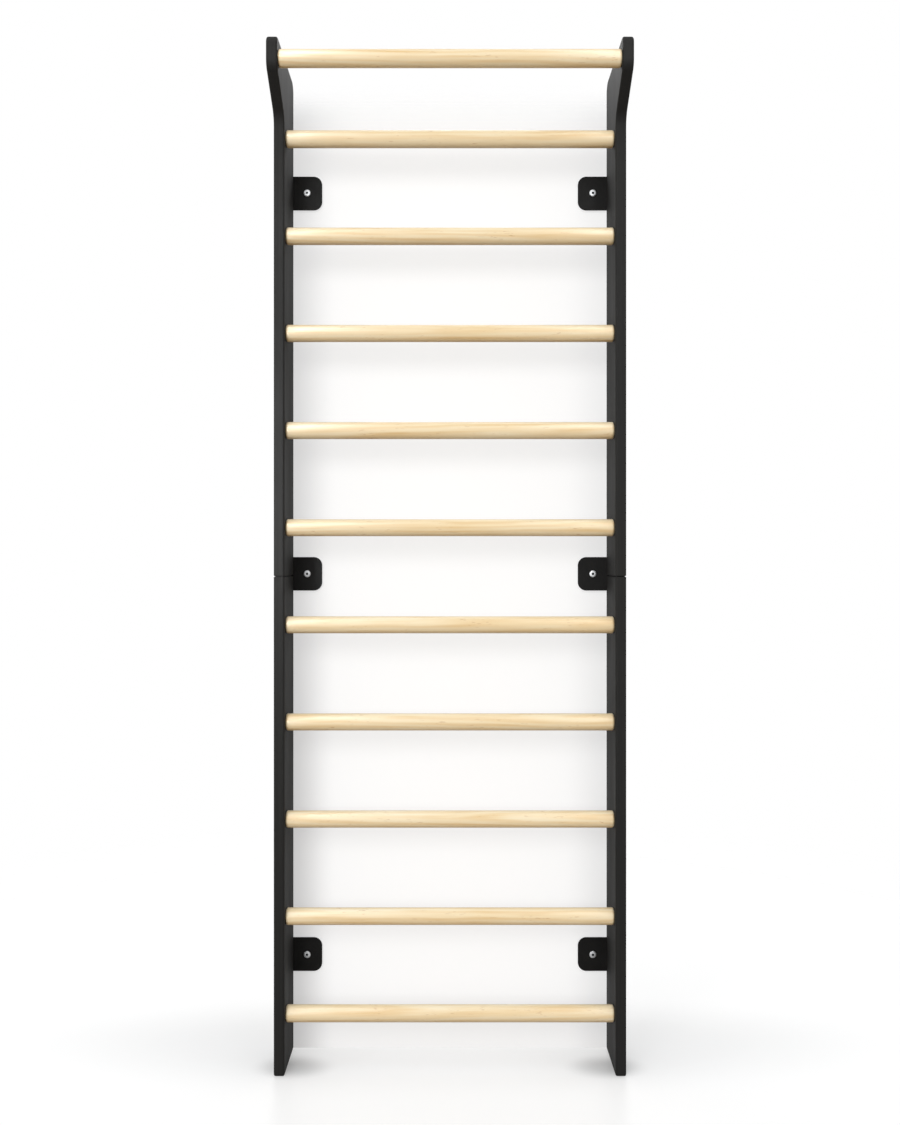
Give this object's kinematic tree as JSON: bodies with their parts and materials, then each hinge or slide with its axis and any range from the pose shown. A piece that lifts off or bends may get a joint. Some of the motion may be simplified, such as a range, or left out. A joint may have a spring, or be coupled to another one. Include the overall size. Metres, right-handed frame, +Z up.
{
  "type": "swedish wall bars",
  "caption": "Tall wall-mounted gymnastics ladder: round wooden rungs between black upright boards, with a forward pull-up bar in the heads and flat wall plates.",
  "frame": {"origin": "on the floor, midway between the uprights and midway through the depth from the heads' fronts to the wall screws' ends", "axes": "+X to the right seen from the front, +Y towards the wall, +Z up"},
  "size_m": [0.718, 0.288, 2.076],
  "materials": {
    "upright": "satin black lacquer on board",
    "rung": "clear matt lacquer on pale wood",
    "plate": "fine matt black powder coat",
    "bright_screw": "bright zinc",
    "dark_screw": "black oxide",
    "loose_tenon": "bare hardwood"
  },
  "bodies": {
    "root": {"upright_upper_left": "upright", "upright_lower_left": "upright", "upright_upper_right": "upright", "upright_lower_right": "upright", "rung_01": "rung", "rung_02": "rung", "rung_03": "rung", "rung_04": "rung", "rung_05": "rung", "rung_06": "rung", "rung_07": "rung", "rung_08": "rung", "rung_09": "rung", "rung_10": "rung", "top_bar": "rung", "wall_plate_bottom_left": "plate", "wall_plate_middle_left": "plate", "wall_plate_top_left": "plate", "wall_plate_bottom_right": "plate", "wall_plate_middle_right": "plate", "wall_plate_top_right": "plate", "wall_screw_bottom_left": "bright_screw", "wall_screw_middle_left": "bright_screw", "wall_screw_top_left": "bright_screw", "plate_screw_bottom_left": "bright_screw", "plate_screw_middle_lower_left": "bright_screw", "plate_screw_middle_upper_left": "bright_screw", "plate_screw_top_left": "bright_screw", "rung_01_screw_left": "dark_screw", "rung_02_screw_left": "dark_screw", "rung_03_screw_left": "dark_screw", "rung_04_screw_left": "dark_screw", "rung_05_screw_left": "dark_screw", "rung_06_screw_left": "dark_screw", "rung_07_screw_left": "dark_screw", "rung_08_screw_left": "dark_screw", "rung_09_screw_left": "dark_screw", "rung_10_screw_left": "dark_screw", "top_bar_screw_left": "dark_screw", "seam_tenon_left": "loose_tenon", "wall_screw_bottom_right": "bright_screw", "wall_screw_middle_right": "bright_screw", "wall_screw_top_right": "bright_screw", "plate_screw_bottom_right": "bright_screw", "plate_screw_middle_lower_right": "bright_screw", "plate_screw_middle_upper_right": "bright_screw", "plate_screw_top_right": "bright_screw", "rung_01_screw_right": "dark_screw", "rung_02_screw_right": "dark_screw", "rung_03_screw_right": "dark_screw", "rung_04_screw_right": "dark_screw", "rung_05_screw_right": "dark_screw", "rung_06_screw_right": "dark_screw", "rung_07_screw_right": "dark_screw", "rung_08_screw_right": "dark_screw", "rung_09_screw_right": "dark_screw", "rung_10_screw_right": "dark_screw", "top_bar_screw_right": "dark_screw", "seam_tenon_right": "loose_tenon"}
  },
  "joints": []
}
